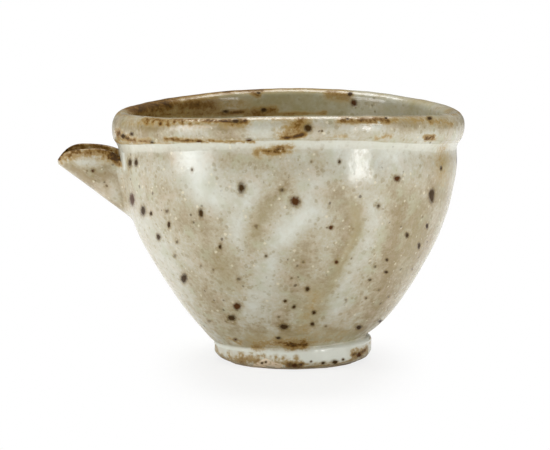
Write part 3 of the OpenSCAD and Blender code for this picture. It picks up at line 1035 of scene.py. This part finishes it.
SEEN_WARM, UNSEEN_WARM, POOL_WARM = 0.51, 0.48, 0.35
STREAK_WARM = 0.46
# How much warmer the body is low on the right: partly thinner glaze, partly painted shade.
LOW_RIGHT_WARM_AND_SHADE = 0.26
OLIVE_SHARE = 0.8
EVEN_INSIDE = 0.5
SEEN_ENOUGH = 0.3
PX_PER_MM = 3.2


def seen_warm(pixels, stray):
    """How thin the glaze is on the side that the photograph shows, with painted highlights among the pale
    streaks, and warmer low on the right, partly from thinner glaze and partly as painted shade.
    """
    # Painted shade and thinner glaze, low on the right.
    thinner = LOW_RIGHT_WARM_AND_SHADE * fade(pixels[:, 0], 330, 400) * fade(pixels[:, 1], 165, 215)
    streaks = strokes(pixels, WARM_STREAKS, stray) - strokes(pixels, PALE_AND_HIGHLIT_STREAKS, stray)
    return SEEN_WARM + thinner + STREAK_WARM * streaks


def unseen_warm(flat, stray):
    """The same on the other sides, in streaks drawn from the seed."""
    thin = strokes(flat, random_streaks(34, 26, 72), stray)
    thick = strokes(flat, random_streaks(24, 26, 72), stray)
    return UNSEEN_WARM + STREAK_WARM * (thin - thick)


def inside_warm(points):
    """How thin the glaze is inside, the same on the wall and on the lip above it."""
    return 0.52 - 0.2 * fade(points[:, 0], 10, 36) + 0.3 * wobble(points, 9, 44)


def inside_olive_and_shade(points):
    """How olive the glaze is inside, darkened further as painted shade: most high on the far wall, left of
    its right end.
    """
    cloudy = wobbles(points, (0.3, 12, 51), (0.3, 5, 52))
    return fade(points[:, 2], 30, 70) * (0.4 + 0.25 * fade(points[:, 0], 30, 8) + cloudy)


def pooled_on_bowl(points, pixels, outside, seen, stray):
    """Where glaze lies thick on the bowl: in its well, under the rim and in milky patches, some of which are
    painted highlights, as is the pale line where the lute meets the wall.
    """
    in_well = 0.5 * (1 - fade(points[:, 2], FLOOR_Z + 0.6, FLOOR_Z + 6)) * ~outside
    under_rim = pale_under_rim(np.arctan2(points[:, 1], points[:, 0]), points[:, 2]) * outside
    milky = np.maximum(strokes(pixels, MILKY_AND_HIGHLIT_PATCHES, stray), strokes(pixels, LUTE_POOL_AND_HIGHLIGHT_MARKS, stray / 5))
    return np.maximum(np.maximum(in_well, under_rim), seen * milky)


def paint_bowl(piece):
    points, outside = piece.points, piece.mask("outside") > 0.5
    flat, pixels, toward = unrolled(points), seen_at(points), facing(piece)
    stray = ragged_px(points, 2.0)
    seen = fade(toward, 0.02, 0.22) * outside
    far_wall = fade(toward, 0.02, 0.15) * ~outside * fade(points[:, 2], 56, 64)
    on_seen, on_far = seen > SEEN_ENOUGH, far_wall > SEEN_ENOUGH
    warm = seen * seen_warm(pixels, stray) + (1 - seen) * unseen_warm(flat, stray / PX_PER_MM)
    spot_rest = np.where(on_far, spots(pixels, INSIDE_SPOTS), random_spots(points, 230, 1.5))
    spot_seen = np.maximum(spots(pixels, IRON_SPOTS), spots(pixels, FAINT_SPOTS) - FAINTNESS)
    olive_rest = strokes(flat, random_streaks(16, 30, 66), stray / PX_PER_MM)
    olive = seen * strokes(pixels, OLIVE_STREAKS, stray) + (1 - seen) * olive_rest
    under_lip = 0.3 * fade(points[:, 2], 68, 77) * ~outside
    brown_inside = far_wall * strokes(pixels, INSIDE_BROWN_MARKS, stray / 3) + under_lip * (1 - far_wall)
    return {
        "warm": np.where(outside, warm, inside_warm(points)),
        "olive": np.where(outside, OLIVE_SHARE * olive, inside_olive_and_shade(points)),
        "brown": np.maximum(seen * strokes(pixels, BROWN_MARKS, stray / 4), brown_inside),
        "even": np.where(outside, 0.0, EVEN_INSIDE),
        "spot": np.where(on_seen, spot_seen, spot_rest),
        "rust": np.where(on_seen, spots(pixels, RUSTY_SPOTS) > 0, wobble(points, 9, 43) > 0.15),
        "pool": pooled_on_bowl(points, pixels, outside, seen, stray),
    }


def paint_rim(piece):
    points, pixels, stray, front = from_photo(piece, 0.6)
    outside = piece.mask("outside") > 0.5
    near = fade(points[:, 1] + 2 * stray, 10, -10)
    front = front * outside * near
    far = fade(facing(piece), -0.1, 0.08) * (1 - near)
    in_photo = [(front, RIM_BROWN_MARKS), (far, INSIDE_BROWN_MARKS)]
    brown = np.maximum(*[share * strokes(pixels, marks, stray) for share, marks in in_photo])
    brown = np.maximum(brown, piece.mask("brown") * (1 - 0.75 * np.maximum(front, far)))
    # Less brown where the crest faces up: partly rubbed wear, partly a painted highlight along the crest's
    # top, which also lets the gloss show there.
    worn_and_highlit = fade(piece.normals[:, 2], 0.88, 0.98) * near
    streaks = strokes(pixels, RIM_WARM_STREAKS, stray) - strokes(pixels, RIM_PALE_AND_GLINT_STREAKS, stray)
    warm = 0.56 + 0.3 * wobble(points, 11, 44) + 0.4 * front * streaks
    spot_rest = np.where(far > SEEN_ENOUGH, spots(pixels, INSIDE_SPOTS), random_spots(points, 40, 1.2))
    return {
        "warm": np.where(outside, warm, inside_warm(points)),
        "olive": np.where(outside, 0.0, inside_olive_and_shade(points)),
        "brown": brown * (1 - 0.7 * worn_and_highlit),
        "even": EVEN_INSIDE * far,
        "spot": np.where(front > SEEN_ENOUGH, spots(pixels, RIM_SPOTS), spot_rest),
        "rust": wobble(points, 7, 45) > 0.1,
    }


def paint_foot(piece):
    points, pixels, stray, front = from_photo(piece, 0.8)
    front = front * (points[:, 1] < 0)
    brown, bare = [strokes(pixels, marks, stray) for marks in (FOOT_BROWN_MARKS, FOOT_BARE_MARKS)]
    # Painted shade on the foot's left, and a warm patch of glaze on its right.
    warm_and_shaded = front * strokes(pixels, FOOT_WARM_AND_SHADE_STREAKS, stray)
    return {
        "warm": POOL_WARM + 0.3 * wobble(points, 8, 46) + 0.3 * warm_and_shaded,
        "brown": np.maximum(front * brown, piece.mask("brown") * (1 - 0.85 * front)),
        "bare": np.maximum(front * bare, piece.mask("bare")),
        "pool": 1.15 * fade(points[:, 2], 1.0, 3.0) * (1 - 0.6 * warm_and_shaded),
        "spot": np.where(front > SEEN_ENOUGH, spots(pixels, FOOT_SPOTS), random_spots(points, 40, 0.9)),
        "rust": wobble(points, 7, 47) > 0.0,
    }


def paint_spout(piece):
    points, pixels, stray, front = from_photo(piece, 0.8)
    front = front * (piece.mask("inside") < 0.5)
    brown = front * strokes(pixels, SPOUT_BROWN_MARKS, stray)
    streaks = strokes(pixels, SPOUT_WARM_STREAKS, stray) - strokes(pixels, SPOUT_PALE_AND_GLINT_STREAKS, stray)
    spot_seen, spot_rest = spots(pixels, SPOUT_SPOTS) - 0.3, random_spots(points, 14, 0.9)
    return {
        "warm": 0.8 + 0.5 * wobble(points, 6, 48) + 0.45 * front * streaks,
        "brown": np.maximum(brown, piece.mask("brown") * (1 - 0.2 * front)),
        "spot": np.where(front > SEEN_ENOUGH, spot_seen, spot_rest),
        "rust": wobble(points, 6, 49) > 0.0,
    }


def paint_lute(piece):
    points, pixels, stray, front = from_photo(piece, 0.4)
    return {
        "warm": 0.6 + 0.5 * wobble(points, 6, 48),
        "brown": front * strokes(pixels, SPOUT_BROWN_MARKS, stray),
        "pool": front * strokes(pixels, LUTE_POOL_AND_HIGHLIGHT_MARKS, stray),
        "spot": np.full(len(points), NO_SPOT),
    }


def paint_glaze_ring(piece):
    """A ring of pooled glaze, whose thin edge takes on the colours of the bowl beside it."""
    points, pixels, stray, front = from_photo(piece, 2.0)
    pool = piece.mask("pool")
    on_bowl = UNSEEN_WARM + front * (seen_warm(pixels, stray) - UNSEEN_WARM)
    in_pool = POOL_WARM + 0.25 * wobble(points, 8, 50)
    return {
        "warm": on_bowl + pool * (in_pool - on_bowl),
        "olive": OLIVE_SHARE * front * (1 - pool) * strokes(pixels, OLIVE_STREAKS, stray),
        "brown": front * strokes(pixels, {**BROWN_MARKS, **RIM_EDGE_MARKS}, stray / 4),
        "spot": np.full(len(points), NO_SPOT),
    }


GLAZE_MASKS = ("warm", "olive", "brown", "even", "pool", "spot", "rust", "bare")


def paint(piece, painter):
    """Puts the masks of a piece on its mesh, where its material reads them."""
    piece.masks.update(painter(piece))
    for key in GLAZE_MASKS:
        values = piece.object.data.attributes.new(key, "FLOAT", "POINT")
        values.data.foreach_set("value", piece.mask(key).astype(np.float32))


# Materials

def srgb(*levels):
    """A colour written as 0 to 255 in sRGB, as the linear colour that a shader takes."""
    shares = [level / 255 for level in levels]
    linear = [c / 12.92 if c <= 0.04045 else ((c + 0.055) / 1.055) ** 2.4 for c in shares]
    return (*linear, 1.0)


PALE_GLAZE = srgb(204, 205, 194)
GREY_GLAZE = srgb(191, 187, 169)
BEIGE_GLAZE = srgb(176, 165, 138)
TAN_GLAZE = srgb(147, 129, 91)
GREEN_TINT = srgb(176, 176, 146)
PINK_TINT = srgb(197, 180, 158)
OLIVE_GLAZE = srgb(154, 144, 100)
GOLDEN = srgb(184, 163, 118)
THIN_GLAZE = srgb(160, 133, 78)
EDGE_BROWN = srgb(124, 88, 26)
DARK_BROWN = srgb(68, 40, 3)
POOLED_GLAZE = srgb(223, 226, 216)
IRON = srgb(62, 42, 12)
RUST = srgb(76, 44, 14)
HALO = srgb(136, 112, 58)
PALE_FLECK = srgb(220, 212, 184)
OLIVE_FLECK = srgb(136, 120, 74)
DARK_FLECK = srgb(78, 58, 24)
BARE_CLAY = srgb(224, 206, 180)
FLOOR_PAPER = srgb(250, 249, 246)
WHITE = (1, 1, 1, 1)

# Colours by how thin the glaze is on the body, and where it is thinnest
GROUND = [(0.05, PALE_GLAZE), (0.40, GREY_GLAZE), (0.68, BEIGE_GLAZE), (1.0, TAN_GLAZE)]
BROWNS = [(0.12, GOLDEN), (0.36, THIN_GLAZE), (0.64, EDGE_BROWN), (1.0, DARK_BROWN)]

# Flecks as spacing, share of cells, radius, strength and colour, with sizes in millimetres
FLECKS = [
    (1.8, 0.70, 0.65, 0.40, OLIVE_FLECK),
    (2.1, 0.55, 0.42, 0.62, PALE_FLECK),
    (3.2, 0.45, 0.45, 0.80, DARK_FLECK),
]


class Nodes:
    """Short ways to add nodes to a tree. A socket given as an input is linked, a value is set."""

    def __init__(self, owner):
        owner.use_nodes = True
        self.owner, self.tree = owner, owner.node_tree

    def fill(self, node, inputs):
        for key, value in inputs.items():
            if isinstance(value, bpy.types.NodeSocket):
                self.tree.links.new(value, node.inputs[key])
            else:
                node.inputs[key].default_value = value

    def add(self, kind, inputs, **settings):
        node = self.tree.nodes.new(kind)
        for key, value in settings.items():
            setattr(node, key, value)
        self.fill(node, inputs)
        return node

    def math(self, operation, a, b=0.0, clamp=False):
        return self.add("ShaderNodeMath", {0: a, 1: b}, operation=operation, use_clamp=clamp).outputs[0]

    def times(self, a, b, clamp=False):
        return self.math("MULTIPLY", a, b, clamp)

    def sum(self, first, *rest):
        for value in rest:
            first = self.math("ADD", first, value)
        return first

    def weighed(self, start, *parts):
        """A start plus parts, each a value and its weight."""
        return self.sum(start, *[self.times(value, weight) for value, weight in parts])

    def swung(self, start, *noises):
        """A start moved up and down by noises between 0 and 1, each with its weight."""
        swings = [(self.math("SUBTRACT", value, 0.5), weight) for value, weight in noises]
        return self.weighed(start, *swings)

    def vector(self, operation, a, b):
        return self.add("ShaderNodeVectorMath", {0: a, 1: b}, operation=operation).outputs[0]

    def attribute(self, name):
        return self.add("ShaderNodeAttribute", {}, attribute_name=name).outputs["Fac"]

    def place(self, scale):
        """Where a point is on its object, times a scale."""
        return self.vector("MULTIPLY", self.add("ShaderNodeTexCoord", {}).outputs["Object"], scale)

    def millimetres(self, stretch=(1, 1, 1)):
        return self.place([s / MM for s in stretch])

    def bent(self, place, size, amount):
        """Places pushed about by a noise, so that round marks come out uneven."""
        push = self.add("ShaderNodeTexNoise", {"Vector": place, "Scale": 1 / size}).outputs["Color"]
        push = self.vector("SUBTRACT", push, (0.5, 0.5, 0.5))
        return self.vector("ADD", place, self.vector("MULTIPLY", push, (amount,) * 3))

    def noise(self, place, size, detail=2.0, roughness=0.5):
        inputs = {"Vector": place, "Scale": 1 / size, "Detail": detail, "Roughness": roughness}
        return self.add("ShaderNodeTexNoise", inputs).outputs["Fac"]

    def step(self, value, low, high, to=1.0):
        inputs = {"Value": value, "From Min": low, "From Max": high, "To Min": 0.0, "To Max": to}
        return self.add("ShaderNodeMapRange", inputs, interpolation_type="SMOOTHSTEP").outputs["Result"]

    def ramp(self, value, stops):
        node = self.add("ShaderNodeValToRGB", {"Fac": value})
        elements = node.color_ramp.elements
        while len(elements) < len(stops):
            elements.new(0.5)
        for element, (position, colour) in zip(elements, stops):
            element.position = position
            element.color = colour
        return node.outputs["Color"]

    def mix(self, factor, a, b):
        return self.add("ShaderNodeMix", {0: factor, 6: a, 7: b}, data_type="RGBA").outputs[2]


def flecks(s, place, spacing, share, radius, amount):
    """Soft flecks of uneven size in a share of the cells of a scatter, none stronger than amount."""
    cells = s.add("ShaderNodeTexVoronoi", {"Vector": place, "Scale": 1 / spacing})
    pick = s.add("ShaderNodeSeparateColor", {"Color": cells.outputs["Color"]})
    chosen = s.math("GREATER_THAN", pick.outputs[0], 1 - share)
    reach = s.times(s.sum(pick.outputs[1], 0.35), radius / spacing)
    inside = s.math("SUBTRACT", reach, cells.outputs["Distance"])
    return s.times(s.step(inside, -0.05, 0.10, amount), chosen)


def thinness(s, place, noises):
    """How thin the glaze is, with clouds of three sizes and, low down, the lines of trimming. Its warm mask
    also carries a few painted highlights and painted shades.
    """
    broad, middle, fine = noises
    height = s.add("ShaderNodeSeparateXYZ", {"Vector": place}).outputs["Z"]
    lines = s.noise(s.millimetres((0.1, 0.1, 1.0)), 0.9, 2)
    trimming = s.swung(0.0, (lines, 0.35), (s.noise(place, 4, 3), 1.1))
    clouds = s.swung(s.attribute("warm"), (broad, 0.40), (middle, 0.70), (fine, 0.60))
    return s.sum(clouds, s.times(trimming, s.step(height, 40, 14)))


def mottled(s, place, noises):
    """The ground: pale where thick, beige where thinner, faintly green and pink, with many flecks."""
    _, middle, _ = noises
    warm = thinness(s, place, noises)
    colour = s.ramp(warm, GROUND)
    tint = s.noise(s.vector("ADD", place, (31, 31, 31)), 6, 2)
    colour = s.mix(s.step(tint, 0.52, 0.72, 0.5), colour, GREEN_TINT)
    colour = s.mix(s.step(tint, 0.48, 0.28, 0.3), colour, PINK_TINT)
    bent = s.bent(place, 1.2, 0.9)
    on_thin = s.step(warm, 0.05, 0.5)
    for spacing, share, radius, amount, fleck in FLECKS:
        mask = flecks(s, bent, spacing, share, radius, amount)
        colour = s.mix(s.times(mask, on_thin), colour, fleck)
    # The olive mask: olive streaks of the glaze outside, and inside partly painted shade.
    olive = s.times(s.attribute("olive"), s.sum(0.5, middle), clamp=True)
    # The pool mask is glaze that lies thick, and in a few places on the body painted highlights.
    pooled = s.times(s.swung(s.attribute("pool"), (middle, 0.3)), 0.85, clamp=True)
    return s.mix(pooled, s.mix(olive, colour, OLIVE_GLAZE), POOLED_GLAZE)


def thinnest(s, middle, fine):
    """How brown the glaze is where it runs thinnest: in patches, unless it is even."""
    streaky = s.noise(s.millimetres((0.35, 0.35, 1.0)), 1.4, 3, 0.6)
    patchy = s.swung(0.0, (streaky, 1.6), (middle, 2.2), (fine, 2.0))
    patchy = s.times(patchy, s.math("SUBTRACT", 1.0, s.attribute("even")))
    return s.times(s.attribute("brown"), s.sum(1.0, patchy))


def glaze(name):
    """Pale stoneware glaze: mottled by thickness, brown where it runs thin, spotted with iron, glossy."""
    s = Nodes(bpy.data.materials.new(name))
    place = s.millimetres()
    noises = s.noise(place, 9, 3), s.noise(place, 2.6, 4, 0.6), s.noise(place, 0.9, 3, 0.6)
    _, middle, fine = noises
    thin = thinnest(s, middle, fine)
    bare = s.step(s.swung(s.attribute("bare"), (middle, 0.6)), 0.35, 0.65)
    spot = s.swung(s.attribute("spot"), (fine, 0.8), (middle, 1.0))
    core = s.step(spot, -0.45, 0.42)
    colour = s.mix(s.step(thin, 0.02, 0.42, 0.95), mottled(s, place, noises), s.ramp(thin, BROWNS))
    colour = s.mix(bare, colour, s.mix(s.step(fine, 0.5, 0.8), BARE_CLAY, THIN_GLAZE))
    colour = s.mix(s.step(spot, -1.3, 0.0, 0.5), colour, HALO)
    browned = s.step(thin, 0.2, 0.8)
    matt = s.math("MAXIMUM", s.times(core, 0.67), s.times(browned, 0.65))
    s.fill(s.tree.nodes["Principled BSDF"], {
        "Base Color": s.mix(core, colour, s.mix(s.attribute("rust"), IRON, RUST)),
        "Roughness": s.weighed(0.14, (middle, 0.12), (core, 0.15), (browned, 0.25), (bare, 0.5)),
        "Specular IOR Level": s.math("SUBTRACT", 0.75, matt),
        "Normal": glaze_bump(s, place, fine, core, bare),
    })
    return s.owner


def glaze_bump(s, place, fine, core, bare):
    """Orange peel, the lines of the throwing, pitted spots and grainy bare clay."""
    lines = s.noise(s.millimetres((0.12, 0.12, 1.0)), 1.3, 2)
    peel, waves = s.noise(place, 2.0, 2), s.noise(place, 8.0, 1)
    height = s.weighed(0.0, (peel, 0.5), (lines, 0.3), (fine, 0.1), (waves, 3.0))
    height = s.weighed(height, (core, -0.35), (s.times(bare, fine), 0.8))
    inputs = {"Height": height, "Strength": 0.7, "Distance": 0.20 * MM}
    return s.add("ShaderNodeBump", inputs).outputs["Normal"]


# The seven pieces: how each is made and painted, and its slot

PARTS = {
    "bowl": (make_bowl, paint_bowl, "speckled_glaze"),
    "rolled_rim": (make_rim, paint_rim, "speckled_glaze"),
    "rim_glaze_pool": (make_rim_pool, paint_glaze_ring, "pooled_glaze"),
    "foot_ring": (make_foot, paint_foot, "foot_clay"),
    "foot_glaze_pool": (make_foot_pool, paint_glaze_ring, "pooled_glaze"),
    "spout": (make_spout, paint_spout, "speckled_glaze"),
    "spout_lute": (make_lute, paint_lute, "speckled_glaze"),
}
materials = {slot: glaze(slot + "_look") for slot in ("foot_clay", "pooled_glaze", "speckled_glaze")}
for node, (make, painter, slot) in PARTS.items():
    piece = make()
    draw(node, piece)
    paint(piece, painter)
    piece.object.data.materials.append(materials[slot])


# The stage: a white floor that keeps the shadow, a white surround, and softboxes

FLOOR_SIZE = 3.0
SHADOW_ACROSS, SHADOW_ALONG = 0.048, 0.150
FLOOR_SELF_WHITE = 0.80
AMBIENT = 0.355
AMBIENT_IN_GLOSS = 0.15

# Softboxes as degrees right of the camera, distance, height, size, power and lean, in metres and watts
SOFTBOXES = {
    "right_box": (46, 0.31, 0.074, (0.044, 0.14), 0.085, 0.0),
    "right_middle": (46, 0.31, 0.060, (0.026, 0.112), 0.115, 0.0),
    "right_upper": (53, 0.31, 0.195, (0.090, 0.055), 0.085, 0.0),
    "small_right_box": (72, 0.52, 0.095, (0.060, 0.18), 0.05, 0.0),
    "left_box": (-65, 0.55, 0.235, (0.30, 0.46), 1.15, 0.0),
    "left_middle": (-70, 0.55, 0.235, (0.17, 0.46), 0.45, 0.0),
    "top_box": (180, 0.30, 0.9, (0.9, 0.5), 7.0, 0.85),
}


def make_floor():
    mesh = bpy.data.meshes.new("floor")
    corners = [(-1, -1), (1, -1), (1, 1), (-1, 1)]
    mesh.from_pydata([(x * FLOOR_SIZE, y * FLOOR_SIZE, 0) for x, y in corners], [], [(0, 1, 2, 3)])
    mesh.materials.append(floor_white())
    floor = in_scene("floor", mesh)


def floor_white():
    """Pale paper that shows the shadow near the object and turns white further off."""
    s = Nodes(bpy.data.materials.new("floor_paper"))
    paper = s.tree.nodes["Principled BSDF"]
    s.fill(paper, {"Base Color": FLOOR_PAPER, "Roughness": 0.9, "Specular IOR Level": 0.1})
    place = s.place((1 / SHADOW_ACROSS, 1 / SHADOW_ALONG, 1))
    away = s.add("ShaderNodeVectorMath", {0: place}, operation="LENGTH").outputs["Value"]
    white = s.sum(FLOOR_SELF_WHITE, s.step(away, 0.45, 1.0, 1 - FLOOR_SELF_WHITE))
    share = s.times(white, s.add("ShaderNodeLightPath", {}).outputs["Is Camera Ray"])
    glow = s.add("ShaderNodeEmission", {"Color": WHITE, "Strength": 1.0}).outputs[0]
    mixed = s.add("ShaderNodeMixShader", {0: share, 1: paper.outputs[0], 2: glow}).outputs[0]
    s.fill(s.tree.nodes["Material Output"], {"Surface": mixed})
    return s.owner


def make_surround():
    """White behind the object, soft fill on it, and a dimmer room in its gloss."""
    s = Nodes(bpy.data.worlds.new("surround"))
    bpy.context.scene.world = s.owner
    rays = s.add("ShaderNodeLightPath", {}).outputs
    strength = AMBIENT
    for ray, level in (("Is Glossy Ray", AMBIENT_IN_GLOSS), ("Is Camera Ray", 1.0)):
        strength = s.add("ShaderNodeMix", {0: rays[ray], 2: strength, 3: level}).outputs[0]
    s.fill(s.tree.nodes["Background"], {"Color": WHITE, "Strength": strength})


def softbox(name, azimuth, away, height, size, watts, lean):
    """A soft rectangular lamp that faces the bowl's axis, lean metres below its own height."""
    turn = math.radians(azimuth)
    at = Vector((away * math.sin(turn), -away * math.cos(turn), height))
    lamp = bpy.data.lights.new(name, "AREA")
    lamp.shape = "RECTANGLE"
    lamp.size, lamp.size_y = size
    lamp.energy = watts
    box = in_scene(name, lamp)
    box.location = at
    box.rotation_euler = (Vector((0, 0, height - lean)) - at).to_track_quat("-Z", "Y").to_euler()


def make_camera():
    lens = bpy.data.cameras.new("camera")
    lens.sensor_width = 36.0
    lens.lens = FOCAL_PX * lens.sensor_width / PHOTO_W
    camera = in_scene("camera", lens)
    camera.location = CAMERA_AT * MM
    camera.rotation_euler = Vector(CAMERA_AIM - CAMERA_AT).to_track_quat("-Z", "Y").to_euler()
    bpy.context.scene.camera = camera


make_floor()
make_surround()
for name, values in SOFTBOXES.items():
    softbox(name, *values)
make_camera()
bpy.context.scene.view_settings.view_transform = "Standard"
